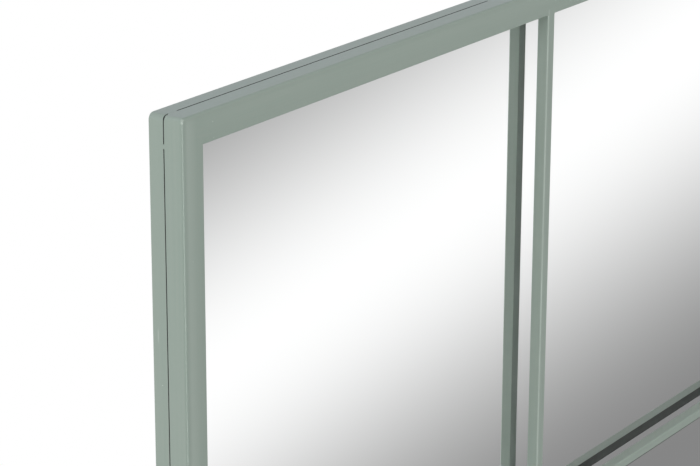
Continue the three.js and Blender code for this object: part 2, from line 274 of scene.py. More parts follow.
def painted_highlights(m, y, from_side, from_top, inside):
    """Painted highlights: a pale line along the mullion's front arris, which runs on a little way
    into the top rail, and soft pale bands of painted sheen on the front faces, some 6 mm from
    their outer edge and stronger on the stiles."""
    # Painted highlight along the mullion's front arris, and where it runs into the top rail.
    end = m.span(m.apart(MULLION_ARRIS_END, (1.0, 1.0, 0.28)), 0.0003, 0.0008, 1.0, 0.0)
    arris = m.span(m.apart(MULLION_ARRIS, (1.0, 1.0, 0.0)), 0.0004, 0.0009, 1.0, 0.0)
    painted_arris_highlight = m.most(m.times(end, 0.45), m.times(m.times(arris, inside), 0.28))

    # A soft band of painted sheen across a front face.
    def band(inward, along, first, last, amount):
        rise = m.times(m.span(inward, 0.0022, 0.0056, smooth=True), amount)
        fall = m.span(inward, 0.0056, 0.0160, 1.0, 0.0, smooth=True)
        return m.times(m.times(rise, fall), m.span(along, first, last, smooth=True))

    bands = m.plus(
        band(from_side, from_top, 0.0012, 0.0050, 0.18),
        band(from_top, from_side, 0.0050, 0.0300, 0.05),
    )
    front = m.span(y, (FRONT_Y + 0.02) * MM, (FRONT_Y + 0.1) * MM, 1.0, 0.0)
    return m.most(painted_arris_highlight, m.times(bands, front))


def transom_painted_light(m, base, x, y, z, inside):
    """The transoms: painted light, a little paler on top, and painted shade, near black on their
    backs and lower front edges.
    """
    between = m.times(inside, m.over(m.size(x), MULLION_CLEAR))
    # Painted shade on the transoms' backs.
    painted_shade = m.times(m.span(y, (BAR_BACK_Y - 0.3) * MM, (BAR_BACK_Y - 0.1) * MM), 0.85)
    pale = 0.0
    for row in ROWS:
        rise = m.minus(z, row * MM)
        # Painted shade along each transom's lower front edge.
        edge = m.times(m.span(rise, 0.0010, 0.0016, 1.0, 0.0), m.over(rise, -0.0006))
        painted_shade = m.most(painted_shade, m.times(edge, 0.97))
        # Painted light, paler, on each transom's top face.
        upper = m.times(m.span(rise, 0.0072, 0.0079), m.under(rise, 0.0090))
        pale = m.most(pale, m.times(upper, 0.20))
    base = m.mix(m.times(pale, between), base, PALE_SPECKS_AND_HIGHLIGHTS)
    return m.mix(m.times(painted_shade, between), base, PAINTED_SHADE)


def bare_steel_and_shade_in_seam(m, base, y, from_side, from_top, inner):
    """Dark in the seam: bare steel in the gap, and painted shade over its rounded edges, wider on
    the rails and widest where it gapes at a corner.
    """
    apart = m.size(m.minus(y, SEAM_MIDDLE * MM))
    on_rail = m.under(from_top, from_side)
    gape = m.times(
        m.span(from_side, 0.0040, 0.0050, 1.0, 0.0), m.span(from_top, 0.0018, 0.0034, 1.0, 0.0),
    )
    # Wider on the rails and at the corner gape: painted shade over the rounded edges.
    apart = m.minus(apart, m.most(m.times(on_rail, 0.00018), m.times(gape, 0.00050)))
    bare_steel_and_shade = m.times(m.span(apart, 0.00030, 0.00042, 1.0, 0.0), m.under(inner, 0.004))
    return m.mix(bare_steel_and_shade, base, SEAM_BARE_STEEL_AND_SHADE)


def sage_paint(name, darken_seam):
    """Satin sage paint on steel: soft clouding, faint streaks along each tube, dust specks, and
    painted highlights, sheen and shade. When asked, the seam between the two frames is dark:
    bare steel, and painted shade over its rounded edges."""
    m = Material(name, roughness=0.42)
    m.shader.inputs["IOR"].default_value = 1.6
    cloud = m.noise(m.place, 11.0, 2.0)
    mottle = m.noise(m.place, 330.0, 2.0)
    streak = m.noise(m.scaled(m.surface, (7.0, 520.0, 1.0)), 1.0, 2.0, 0.6)
    broad = m.noise(m.scaled(m.surface, (3.0, 130.0, 1.0)), 1.0, 1.0)
    tone = m.plus(m.times(cloud, 0.35), m.times(streak, 0.40))
    tone = m.plus(tone, m.times(mottle, 0.20))
    tone = m.plus(tone, m.times(broad, 0.20))
    base = m.mix(m.span(tone, 0.36, 0.80), PAINT_LOW, PAINT_HIGH)
    x, y, z = m.split(m.place)
    from_side = m.minus(HALF_W * MM, m.size(x))
    from_top = m.minus(HALF_H * MM, m.size(z))
    inner = m.least(from_side, from_top)
    inside = m.over(inner, (FACE + 0.1) * MM)
    # Pale dust specks and marks, and painted highlights and sheen.
    pale = m.most(pale_spots(m), painted_highlights(m, y, from_side, from_top, inside))
    base = m.mix(pale, base, PALE_SPECKS_AND_HIGHLIGHTS)
    # Painted light and shade on the transoms.
    base = transom_painted_light(m, base, x, y, z, inside)
    # A dark seam: bare steel, and painted shade over its rounded edges.
    if darken_seam:
        base = bare_steel_and_shade_in_seam(m, base, y, from_side, from_top, inner)
    m.colour(base)
    m.roughness(m.span(m.plus(cloud, mottle), 0.6, 1.4, 0.37, 0.47))
    peel = m.noise(m.place, 760.0, 1.0)
    height = m.plus(m.times(peel, 0.5), m.times(streak, 0.6))
    height = m.plus(height, m.times(m.noise(m.place, 55.0, 1.0), 1.2))
    m.bump(height, 0.00006, 0.55)
    return m.material


def silvered_glass():
    """A clear mirror, seen as its silvered face."""
    m = Material("silvered_glass", roughness=0.0, metallic=1.0)
    haze = m.noise(m.place, 2.5, 1.0)
    m.colour(m.mix(haze, rgb(0.806, 0.810, 0.809), rgb(0.814, 0.817, 0.816)))
    return m.material


def zinc(name="zinc_plate", grain=(60.0, 60.0, 900.0)):
    """Bright zinc plate: a cool grey with a faint yellow and blue bloom and fine rolling marks."""
    m = Material(name, roughness=0.32, metallic=1.0)
    bloom = m.noise(m.place, 95.0, 2.0)
    rolled = m.noise(m.scaled(m.place, grain), 1.0, 3.0, 0.6)
    base = m.mix(m.span(bloom, 0.36, 0.64), rgb(0.56, 0.59, 0.64), rgb(0.66, 0.64, 0.56))
    m.colour(m.mix(m.span(rolled, 0.35, 0.75), base, rgb(0.47, 0.48, 0.50)))
    m.roughness(m.span(m.plus(rolled, bloom), 0.7, 1.3, 0.24, 0.46))
    m.bump(rolled, 0.00004, 0.6)
    return m.material


def hardboard():
    """Brown pressed fibre board with its smooth face out: flecks, fibres and soft clouds."""
    m = Material("hardboard", roughness=0.6)
    cloud = m.noise(m.place, 5.0, 3.0)
    fleck = m.noise(m.place, 620.0, 3.0, 0.65)
    fibre = m.noise(m.scaled(m.place, (130.0, 400.0, 900.0)), 1.0, 3.0, 0.6)
    cross = m.noise(m.scaled(m.place, (900.0, 400.0, 150.0)), 1.0, 3.0, 0.6)
    base = m.mix(m.span(cloud, 0.35, 0.65), rgb(0.175, 0.088, 0.041), rgb(0.235, 0.126, 0.062))
    fibres = m.most(m.span(fibre, 0.56, 0.74), m.span(cross, 0.60, 0.76))
    base = m.mix(m.times(fibres, 0.55), base, rgb(0.34, 0.20, 0.105))
    base = m.mix(m.times(m.span(fleck, 0.60, 0.72), 0.7), base, rgb(0.085, 0.042, 0.022))
    m.colour(base)
    m.roughness(m.span(fleck, 0.3, 0.7, 0.48, 0.70))
    m.bump(m.plus(fleck, m.times(fibre, 0.8)), 0.00012, 0.7)
    return m.material


def card():
    """Corrugated card: pale brown, with flutes that show as soft bars."""
    m = Material("corrugated_card", roughness=0.9)
    flute = m.add(
        "ShaderNodeTexWave", out=1, inputs={"Vector": m.place, "Scale": 98.0, "Distortion": 0.3},
        wave_type="BANDS", bands_direction="X",
    )
    fibre = m.noise(m.place, 500.0, 3.0, 0.6)
    base = m.mix(m.span(fibre, 0.3, 0.7), rgb(0.40, 0.27, 0.15), rgb(0.52, 0.37, 0.22))
    m.colour(m.mix(m.times(flute, 0.18), base, rgb(0.33, 0.22, 0.12)))
    m.bump(m.plus(flute, m.times(fibre, 0.3)), 0.0002, 0.6)
    return m.material


def foam():
    """White closed-cell foam tape with fine pores."""
    m = Material("foam_tape", roughness=0.9)
    pore, _ = m.cells(2600.0)
    m.colour(m.mix(m.span(pore, 0.1, 0.6), rgb(0.50, 0.50, 0.48), rgb(0.68, 0.68, 0.65)))
    m.bump(pore, 0.0001, 0.8)
    return m.material


def rubber():
    """Matt black rubber with a little dust."""
    m = Material("rubber", roughness=0.75)
    dust = m.noise(m.place, 900.0, 3.0, 0.65)
    m.colour(m.mix(m.span(dust, 0.45, 0.8), rgb(0.014, 0.014, 0.015), rgb(0.055, 0.054, 0.052)))
    m.roughness(m.span(dust, 0.3, 0.7, 0.62, 0.85))
    m.bump(dust, 0.00008, 0.6)
    return m.material


PAINT = sage_paint("sage_paint", darken_seam=True)
FILLER = sage_paint("sage_filler", darken_seam=False)
MIRROR = silvered_glass()
ZINC = zinc()
WIRE = zinc("zinc_wire", (350.0, 350.0, 350.0))
BOARD = hardboard()
CARD = card()
FOAM = foam()
RUBBER = rubber()


# ---------------------------------------- mesh helpers

def add_piece(name, mesh, body, material, replaced=()):
    piece = bpy.data.objects.new(name, mesh)
    bpy.context.scene.collection.objects.link(piece)
    mesh.materials.append(material)
    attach(piece, body)
    if replaced:
        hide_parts(*replaced)


def grid(name, vertices, loops, points, caps=False, uv=None, normals=None):
    """A mesh of loops x points quads, in mm. Each loop is closed on itself. The last loop joins
    the first, or with caps the two ends are closed by a face each."""
    faces, keys = [], []
    for i in range(loops - 1 if caps else loops):
        for j in range(points):
            a, b = i, (i + 1) % loops
            c, d = j, (j + 1) % points
            faces.append((a * points + c, a * points + d, b * points + d, b * points + c))
            keys.append((i, j))
    if caps:
        faces.append(tuple(range(points)))
        keys.append(None)
        faces.append(tuple((loops - 1) * points + j for j in reversed(range(points))))
        keys.append(None)
    mesh = bpy.data.meshes.new(name)
    mesh.from_pydata([[c * MM for c in v] for v in vertices], [], faces)
    if uv:
        layer = mesh.uv_layers.new(name="along")
        for polygon, key in zip(mesh.polygons, keys):
            corners = uv(key, [vertices[v] for v in polygon.vertices])
            for loop, value in zip(polygon.loop_indices, corners):
                layer.data[loop].uv = value
    made = bmesh.new()
    made.from_mesh(mesh)
    bmesh.ops.recalc_face_normals(made, faces=made.faces)
    made.to_mesh(mesh)
    made.free()
    mesh.shade_smooth()
    if normals:
        mesh.normals_split_custom_set_from_vertices([Vector(n).normalized() for n in normals])
    mesh.update()
    return mesh


def joined(name, parts):
    """One smooth mesh of several."""
    made = bmesh.new()
    for part in parts:
        made.from_mesh(part)
        bpy.data.meshes.remove(part)
    mesh = bpy.data.meshes.new(name)
    made.to_mesh(mesh)
    made.free()
    mesh.shade_smooth()
    return mesh


def rounded_profile(x0, x1, y0, y1, radii, steps):
    """A box section with rounded corners: points (x, y), their normals and the length around."""
    corners = [
        (x0, y0, 1, 1, 180, radii[0]),
        (x1, y0, -1, 1, 270, radii[1]),
        (x1, y1, -1, -1, 0, radii[2]),
        (x0, y1, 1, -1, 90, radii[3]),
    ]
    out = []
    for x, y, sx, sy, start, radius in corners:
        for i in range(steps + 1):
            angle = math.radians(start + 90 * i / steps)
            nx, ny = math.cos(angle), math.sin(angle)
            out.append((x + sx * radius + radius * nx, y + sy * radius + radius * ny, nx, ny))
    length = [0.0]
    for a, b in zip(out, out[1:] + out[:1]):
        length.append(length[-1] + math.hypot(b[0] - a[0], b[1] - a[1]))
    return out, length


# A corner of the frame has an arc of TURN steps between points at these distances from it.
TURN = 16
NEAR_CORNER = (12.0, 6.0, 5.0, 4.7)
CORNER_POINTS = 2 * len(NEAR_CORNER) + TURN + 1


def contour(inset, radius):
    """The frame's outline, inset: (x, z) and the outward direction. It starts at the right and
    turns over the top. Each corner is an arc between short stretches of its two sides."""
    wide, high = HALF_W - inset, HALF_H - inset
    out = []

    def side_point(sx, sz, upright, back, angle):
        x, z = (wide, high - back) if upright else (wide - back, high)
        out.append((sx * x, sz * z, math.cos(angle), math.sin(angle)))

    for sx, sz, start in ((1, 1, 0), (-1, 1, 90), (-1, -1, 180), (1, -1, 270)):
        turns = [math.radians(start + 90 * i / TURN) for i in range(TURN + 1)]
        upright = start in (0, 180)
        for back in NEAR_CORNER:
            side_point(sx, sz, upright, back, turns[0])
        for angle in turns:
            dx, dz = math.cos(angle), math.sin(angle)
            x, z = sx * (wide - radius) + radius * dx, sz * (high - radius) + radius * dz
            out.append((x, z, dx, dz))
        for back in reversed(NEAR_CORNER):
            side_point(sx, sz, not upright, back, turns[-1])
    return out


def on_stile(j):
    """Whether segment j of a contour belongs to a stile rather than a rail."""
    corner, i = divmod(j, CORNER_POINTS)
    before_middle = i < CORNER_POINTS // 2
    return (corner in (0, 2)) == before_middle


def hash01(*values):
    """A fixed number from 0 to 1 for a few numbers."""
    total = math.sin(sum(v * k for v, k in zip(values, (12.9898, 78.233, 37.719)))) * 43758.5453
    return total - math.floor(total)


def frame_ring(name, y0, y1, width, radii, corner, nodes, seam):
    """A welded frame as one skin, with its section swept round the outline and mitred inside."""
    profile, length = rounded_profile(0, width, y0, y1, radii, 5)
    vertices, normals = [], []
    for inset, y, across, back in profile:
        for x, z, dx, dz in contour(inset, max(corner - inset, 0.3)):
            drawn_in, drawn_back = seam(x, y, z, inset)
            vertices.append((x - dx * drawn_in, y + drawn_back, z - dz * drawn_in))
            normals.append((-across * dx, back, -across * dz))
    points = 4 * CORNER_POINTS

    def uv(key, corners):
        """Along the tube and round its section, on another stretch of the paint on each side."""
        i, j = key
        axis = 2 if on_stile(j) else 0
        shift = 0.31 * (1 + j // CORNER_POINTS) + (0.17 if axis == 2 else 0.0)
        heights = (length[i], length[i], length[i + 1], length[i + 1])
        return [(c[axis] * MM + shift, h * MM + shift) for c, h in zip(corners, heights)]

    mesh = grid(name, vertices, len(profile), points, uv=uv, normals=normals)
    add_piece(name, mesh, "frame", PAINT, nodes)


# ---------------------------------------- the two frames and the filled seam

# Radii of the section's edges: outer front, inner front, inner back, outer back.
EDGE = 0.4
FRONT_EDGES = (1.5, 0.5, EDGE, EDGE)
REAR_EDGES = (EDGE, EDGE, 1.5, 1.0)
FRONT_CORNER, REAR_CORNER = 2.5, 4.5
# The visible seam is this much wider each way than the gap.
SEAM_EASE = 0.05


def notch(x, z):
    """How open the seam is near a corner, from 0 to 1: it gapes as it turns the corner."""
    from_side, from_top = HALF_W - abs(x), HALF_H - abs(z)
    return max(0.0, min(1.0, 5.0 - from_side)) * max(0.0, min(1.0, (3.4 - from_top) / 1.6))


def front_seam(x, y, z, inset):
    """How far the front frame's edge at the seam is drawn in and back, in mm."""
    if y < FRONT_BACK_Y - 1.0 or inset > 2:
        return 0.0, 0.0
    return 0.20 * notch(x, z), -0.15 * notch(x, z)


def rear_seam(x, y, z, inset):
    """The same for the rear frame's edge."""
    if y > SEAM_Y + 1.0 or inset > 2:
        return 0.0, 0.0
    on_rail = min(1.0, (HALF_W - abs(x)) / 4.0)
    return 0.25 * notch(x, z), 0.15 * on_rail * (HALF_H - abs(z) < 2.0) + 0.45 * notch(x, z)


frame_ring(
    "front_frame", FRONT_Y, FRONT_BACK_Y - SEAM_EASE, FACE, FRONT_EDGES, FRONT_CORNER,
    FRONT_NODES, front_seam,
)
frame_ring(
    "rear_frame", SEAM_Y + SEAM_EASE, BACK_Y, REAR_FACE, REAR_EDGES, REAR_CORNER,
    REAR_NODES, rear_seam,
)

# Filled stretches: from and to, in mm from a corner along a stile and a rail; tacks, in mm from
# the middle of each; and half a tack's length, with what it may gain.
STILE_FILL, RAIL_FILL = (17.5, 21.2), (4.7, 14.3)
STILE_TACKS, RAIL_TACKS = (-200.0, 0.0, 200.0), (-60.0, 60.0)
HALF_TACK, TACK_GAIN = 5.0, 1.5


def bead(side, start, end):
    """Weld and filler in the seam of one side, from start to end mm along it, flush with the
    tubes."""
    upright, sign = side in ("left", "right"), 1 if side in ("top", "right") else -1
    stations, across = max(8, int((end - start) / 0.5)), 12
    half = (SEAM_Y - FRONT_BACK_Y) / 2 + SEAM_EASE + EDGE + 0.25
    vertices = []
    for i in range(stations + 1):
        s = start + (end - start) * i / stations
        tip = min(1.0, min(s - start, end - s) / 1.1)
        level = -0.07 - 0.5 * (1 - tip) ** 2 + 0.012 * (math.sin(s * 2.1) - 1) * tip
        for j in range(across):
            angle = 2 * math.pi * j / across
            rise = math.sin(angle)
            lift = level + (0.07 if rise > 0 else 0.75) * rise * abs(rise) ** 0.3
            y = SEAM_MIDDLE + half * math.cos(angle)
            out = sign * ((HALF_W if upright else HALF_H) + lift)
            vertices.append((out, y, s) if upright else (s, y, out))
    return vertices, stations + 1, across


def filled_stretches():
    """Where the seam is filled: near each corner, and at a few tacks along each side."""
    runs = []
    for side in SIDES:
        upright = side in ("left", "right")
        reach = HALF_H if upright else HALF_W
        near, far = STILE_FILL if upright else RAIL_FILL
        runs += [(side, near - reach, far - reach), (side, reach - far, reach - near)]
        for middle in STILE_TACKS if upright else RAIL_TACKS:
            half = HALF_TACK + TACK_GAIN * hash01(middle, reach)
            runs.append((side, middle - half, middle + half))
    return runs


beads = [grid("bead", *bead(*stretch), caps=True) for stretch in filled_stretches()]
add_piece("seam_fillings", joined("seam_fillings", beads), "frame", FILLER)


# ---------------------------------------- glazing bars

# Edge radii of the frame's opening and of the bars, front and back; the weld's fillet at a bar's
# end, and how far the end sinks out of sight.
FRAME_ARRIS, BAR_ARRIS, BAR_BACK_ARRIS = 0.5, 1.2, 0.4
FILLET, SUNK = 0.5, 0.4


def glazing_bar(node, axis, reaches):
    """A bar with eased edges. Each end runs into its neighbour by its reach, over the neighbour's
    own eased edge, with a small fillet of weld and paint, and then sinks out of sight."""
    low, high = around(node)
    other = 0 if axis == 2 else 2
    radii = (BAR_ARRIS, BAR_ARRIS, BAR_BACK_ARRIS, BAR_BACK_ARRIS)
    start, end = low[axis], high[axis]
    stations = [start - reaches[0] - SUNK, start - reaches[0], start]
    stations += [start + FILLET * k / 4 for k in range(1, 5)]
    stations += [start + (end - start) * k / 8 for k in range(1, 8)]
    stations += [end - FILLET * k / 4 for k in range(4, 0, -1)]
    stations += [end, end + reaches[1], end + reaches[1] + SUNK]
    vertices, normals = [], []
    for t in stations:
        inside = max(0.0, min(t - start, end - t))
        flare = FILLET - math.sqrt(max(0.0, FILLET ** 2 - max(0.0, FILLET - inside) ** 2))
        deep = max(start - t - reaches[0], t - end - reaches[1], 0.0)
        slope = max(0.0, (FILLET - inside) / FILLET) if start < t < end else 0.0
        turn = slope * (1 if t - start < end - t else -1)
        profile, length = rounded_profile(
            low[other] - flare, high[other] + flare, low[1] + 0.3 * deep, high[1] + flare, radii, 4,
        )
        for x, y, across, back in profile:
            point, normal = [0.0, y, 0.0], [0.0, back, 0.0]
            point[other], point[axis] = x, t
            normal[other], normal[axis] = across, turn * max(abs(across), max(back, 0.0))
            vertices.append(point)
            normals.append(normal)
    points = len(profile)

    def uv(key, corners):
        if key is None:
            return [(0.0, 0.0)] * len(corners)
        i, j = key
        heights = (length[j], length[j + 1], length[j + 1], length[j])
        shift = 0.43 * hash01(*low)
        return [(c[axis] * MM + shift, h * MM + shift) for c, h in zip(corners, heights)]

    mesh = grid(node + "_bar", vertices, len(stations), points, caps=True, uv=uv, normals=normals)
    add_piece(node + "_bar", mesh, "frame", PAINT, [node])


columns = 1 + sum(node.startswith("mullion_") for node in frame["nodes"])
for node in sorted(frame["nodes"]):
    if node.startswith("mullion_"):
        glazing_bar(node, 2, (FRAME_ARRIS, FRAME_ARRIS))
    if node.startswith("transom_"):
        column = int(node.rsplit("_", 1)[1])
        glazing_bar(node, 0, (
            FRAME_ARRIS if column == 1 else BAR_ARRIS,
            FRAME_ARRIS if column == columns else BAR_ARRIS,
        ))


# ---------------------------------------- mirror, tapes, packing and back board

def eased_sheet(name, low, high, ease, material, replaced):
    """A flat sheet with its edges eased."""
    made = bmesh.new()
    bmesh.ops.create_cube(made, size=1.0)
    for v in made.verts:
        v.co = Vector([((a + b) / 2 + c * (b - a)) * MM for a, b, c in zip(low, high, v.co)])
    bmesh.ops.bevel(
        made, geom=made.edges[:], offset=ease * MM, segments=3, profile=0.5, affect="EDGES",
    )
    mesh = bpy.data.meshes.new(name)
    made.to_mesh(mesh)
    made.free()
    mesh.shade_smooth()
    for polygon in mesh.polygons:
        # The six flats keep their own flat normals; only the eased edges are smooth.
        if max(abs(c) for c in polygon.normal) > 0.9999:
            polygon.use_smooth = False
    add_piece(name, mesh, "frame", material, replaced)


glass_low, glass_high = around("mirror_glass")
# The silver seen slantwise through the glass looks this far behind the glass's face, in mm.
SILVER_DEPTH = 1.6
SILVER_Y = glass_low[1] + SILVER_DEPTH
TAPE_GAP = 0.02
eased_sheet(
    "mirror_plate", (glass_low[0], SILVER_Y, glass_low[2]), glass_high, 0.4,
    MIRROR, ["mirror_glass"],
)
for side in SIDES:
    low, high = around("foam_tape_" + side)
    tape_low = (low[0], FRONT_BACK_Y + TAPE_GAP, low[2])
    tape_high = (high[0], SILVER_Y - TAPE_GAP, high[2])
    eased_sheet(
        "glazing_tape_" + side, tape_low, tape_high, 0.35, FOAM, ["foam_tape_" + side],
    )
board_low, board_high = around("back_board")
eased_sheet("fibre_back_board", board_low, board_high, 0.5, BOARD, ["back_board"])
frame["nodes"]["packing_sheet"].data.materials.clear()
frame["nodes"]["packing_sheet"].data.materials.append(CARD)


# ---------------------------------------- hardware on the back

LATHE_STEPS = 48


def lathe(profile):
    """Loops of a profile (radius, height) turned about the Y axis."""
    vertices = []
    for radius, height in profile:
        for j in range(LATHE_STEPS):
            angle = 2 * math.pi * j / LATHE_STEPS
            vertices.append((radius * math.cos(angle), height, radius * math.sin(angle)))
    return vertices, len(profile), LATHE_STEPS


# Height of a screw's head and radius of the hole it stands in, in mm.
HEAD = 2.2
SCREW_HOLE = 1.9


def screw_mesh():
    """A pan-head screw with a cross recess, its head's underside on Y = 0."""
    profile = [
        (0.05, -9.0), (0.55, -8.2), (1.1, -7.2), (1.5, -6.5), (1.6, -6.2), (1.6, -0.02), (1.7, 0.0),
        (3.2, 0.0), (3.34, 0.06), (3.4, 0.2), (3.4, 0.85), (3.34, 1.2), (3.16, 1.5), (2.85, 1.78),
        (2.4, 1.98), (1.8, 2.12), (1.1, 2.19), (0.4, HEAD), (0.02, HEAD),
    ]
    body = grid("screw_body", *lathe(profile), caps=True)
    cross = []
    for depth, arm, half in ((2.6, 1.95, 0.50), (0.75, 0.85, 0.34)):
        for turn in range(4):
            angle = turn * math.pi / 2
            c, s = math.cos(angle), math.sin(angle)
            for u, v in ((half, -half), (arm, -half), (arm, half)):
                cross.append((u * c - v * s, depth, u * s + v * c))
    cutter = grid("cross", cross, 2, 12, caps=True)
    solid = bpy.data.objects.new("screw_solid", body)
    tool = bpy.data.objects.new("cross_tool", cutter)
    for each in (solid, tool):
        bpy.context.scene.collection.objects.link(each)
    cut = solid.modifiers.new("recess", "BOOLEAN")
    cut.object = tool
    cut.operation = "DIFFERENCE"
    cut.solver = "EXACT"
    bpy.context.view_layer.update()
    evaluated = solid.evaluated_get(bpy.context.evaluated_depsgraph_get())
    result = bpy.data.meshes.new_from_object(evaluated)
    for each in (solid, tool):
        bpy.data.objects.remove(each)
    result.materials.clear()
    result.shade_smooth()
    result.set_sharp_from_angle(angle=math.radians(38))
    return result


SCREW = screw_mesh()


def put_screw(node):
    low, high = around(node)
    x, z = (low[0] + high[0]) / 2, (low[2] + high[2]) / 2
    mesh = SCREW.copy()
    spin = Matrix.Rotation(2 * math.pi * hash01(x, z), 4, "Y")
    mesh.transform(Matrix.Translation((x * MM, (high[1] - HEAD) * MM, z * MM)) @ spin)
    mesh.name = node + "_pan_head"
    add_piece(node + "_pan_head", mesh, "frame", ZINC, [node])


# Edges that turn by more than this stay sharp on pressed and folded plate.
SHARP = math.radians(42)


def eased_rows(bottom, top, ease):
    """A plate's eased edge: how far out from its outline each row of points is, and its height."""
    rows = []
    for k in range(4):
        a = math.pi / 2 * k / 3
        rows.append((-ease + ease * math.sin(a), bottom + ease - ease * math.cos(a)))
    for k in range(4):
        a = math.pi / 2 * k / 3
        rows.append((-ease + ease * math.cos(a), top - ease + ease * math.sin(a)))
    return rows


# A turn button: its two end radii, plate, eased edges of the plate and of the screw's hole, and
# the rib's start, half length, half width and how far its foot is sunk.
BUTTON_HEAD, BUTTON_TIP, BUTTON_PLATE, BUTTON_EASE, HOLE_EASE = 5.0, 3.5, 1.2, 0.28, 0.15
RIB_START, RIB_HALF, RIB_HALF_WIDTH, RIB_ROOT = 4.0, 5.5, 1.6, 0.1
# The share of a side's angle in which the outline is the tip's arc. The rest is the straight edge.
TIP_SHARE = 0.55


def button_outline(span, count):
    """Points (u, v) and their outward directions round the screw's head end and the tip, whose
    centre is span mm along the finger. Along the finger is angle 0."""
    head, tip = BUTTON_HEAD, BUTTON_TIP
    bound = math.pi / 2 - math.asin((head - tip) / span)
    outline = []
    for j in range(count):
        angle = 2 * math.pi * (j + 0.5) / count - math.pi
        side = 1 if angle > 0 else -1
        share = abs(angle) / bound
        if abs(angle) >= bound:
            nx, ny = math.cos(angle), math.sin(angle)
            px, py = head * nx, head * ny
        elif share > TIP_SHARE:
            k = (share - TIP_SHARE) / (1.0 - TIP_SHARE)
            nx, ny = math.cos(bound), side * math.sin(bound)
            px = span + tip * nx + (head * nx - span - tip * nx) * k
            py = tip * ny + (head * ny - tip * ny) * k
        else:
            turned = side * bound * share / TIP_SHARE
            nx, ny = math.cos(turned), math.sin(turned)
            px, py = span + tip * nx, tip * ny
        outline.append((px, py, nx, ny))
    return outline


def turn_button(node, screw, body):
    """A turn button: a tapered plate with eased edges, a hole for its screw and a pressed rib."""
    low, high = around(node)
    s_low, s_high = around(screw)
    x, z = (s_low[0] + s_high[0]) / 2, (s_low[2] + s_high[2]) / 2
    reach, (ux, uz) = max([
        (high[0] - x, (1, 0)), (x - low[0], (-1, 0)), (high[2] - z, (0, 1)), (z - low[2], (0, -1)),
    ])

    def place(u, y, v):
        """The point u along the finger and v across it."""
        return x + u * ux - v * uz, y, z + u * uz + v * ux

    outline, hole = button_outline(reach - BUTTON_TIP, 56), []
    for px, py, _, _ in outline:
        turned = math.atan2(py, px)
        c, s = math.cos(turned), math.sin(turned)
        hole.append((SCREW_HOLE * c, SCREW_HOLE * s, c, s))
    bottom, top = low[1], low[1] + BUTTON_PLATE
    section = [(outline, offset, y) for offset, y in eased_rows(bottom, top, BUTTON_EASE)]
    section += [(hole, HOLE_EASE, top), (hole, 0.0, top - HOLE_EASE)]
    section += [(hole, 0.0, bottom + HOLE_EASE), (hole, HOLE_EASE, bottom)]
    vertices = [
        place(px + nx * offset, y, py + ny * offset)
        for line, offset, y in section for px, py, nx, ny in line
    ]
    plate = grid("plate", vertices, len(section), len(outline))
    # The rib, pressed up from the finger.
    vertices, rings, steps = [], 7, 28
    lift = high[1] - top
    for i in range(rings):
        rise = i / (rings - 1)
        size = max(0.02, math.sqrt(max(0.0, 1 - rise ** 2)))
        y = top - RIB_ROOT + (lift + RIB_ROOT) * rise
        for j in range(steps):
            angle = 2 * math.pi * j / steps
            u = RIB_START + RIB_HALF + RIB_HALF * size * math.cos(angle)
            vertices.append(place(u, y, RIB_HALF_WIDTH * size * math.sin(angle)))
    rib = grid("rib", vertices, rings, steps, caps=True)
    mesh = joined(node + "_pressed", [plate, rib])
    mesh.set_sharp_from_angle(angle=SHARP)
    add_piece(node + "_pressed", mesh, body, ZINC, [node])


for node in sorted(frame["nodes"]):
    if node.startswith(("button_screw_", "hanger_screw_")):
        put_screw(node)
    if node.startswith("turn_button_"):
        tag = node[len("turn_button_"):]
        turn_button(node, "button_screw_" + tag, "button_" + tag)


def ring_path(half, bend, leg):
    """The centreline of a D-ring: a straight bar on Z = 0, two legs and a round end, as (x, z)."""
    points = []
    flat = half - bend
    for k in range(12):
        points.append((-flat + 2 * flat * k / 12, 0.0))
    for k in range(10):
        a = math.pi / 2 * (1 - k / 10)
        points.append((flat + bend * math.cos(a), -bend + bend * math.sin(a)))
    for k in range(8):
        points.append((half, -bend - (leg - bend) * k / 8))
    for k in range(40):
        a = -math.pi * k / 40
        points.append((half * math.cos(a), -leg + half * math.sin(a)))
    for k in range(8):
        points.append((-half, -leg + (leg - bend) * k / 8))
    for k in range(10):
        a = math.pi - math.pi / 2 * k / 10
        points.append((-flat + bend * math.cos(a), -bend + bend * math.sin(a)))
    return points


# The ring's wire, bend and legs, and how far off the strap it hangs, in mm.
WIRE_RADIUS, RING_BEND, RING_LEG, RING_REST_GAP = 1.25, 2.0, 8.0, 0.3
# The strap: half its strip's thickness, two layers with a hair of a gap, its eased edge, where the
# upper layer ends below the ring's axis, and how far the roll turns and how much smaller than the
# solid's it is.
HALF_STRIP, LAYER_TOP, UPPER_LAYER, STRAP_TOP, STRAP_EASE = 0.5, 0.98, 1.02, 2.0, 0.2
UPPER_END, ROLL_TURN, ROLL_SLACK = 2.45, 302, 0.03


def strap_layer(x, r, foot, upper, bottom, top):
    """A layer of the strap, 2 r wide and from foot to upper in Z, with a round lower end."""
    outline = []
    for k in range(25):
        a = math.pi + math.pi * k / 24
        c, s = math.cos(a), math.sin(a)
        outline.append((r * c, foot + r + r * s, c, s))
    for k in range(1, 9):
        outline.append((r, foot + r + (upper - foot - r) * k / 8, 1.0, 0.0))
    for k in range(8, 0, -1):
        outline.append((-r, foot + r + (upper - foot - r) * k / 8, -1.0, 0.0))
    rows = eased_rows(bottom, top, STRAP_EASE)
    vertices = [
        (x + px + nx * offset, height, pz + nz * offset)
        for offset, height in rows for px, pz, nx, nz in outline
    ]
    return grid("layer", vertices, len(rows), len(outline), caps=True)


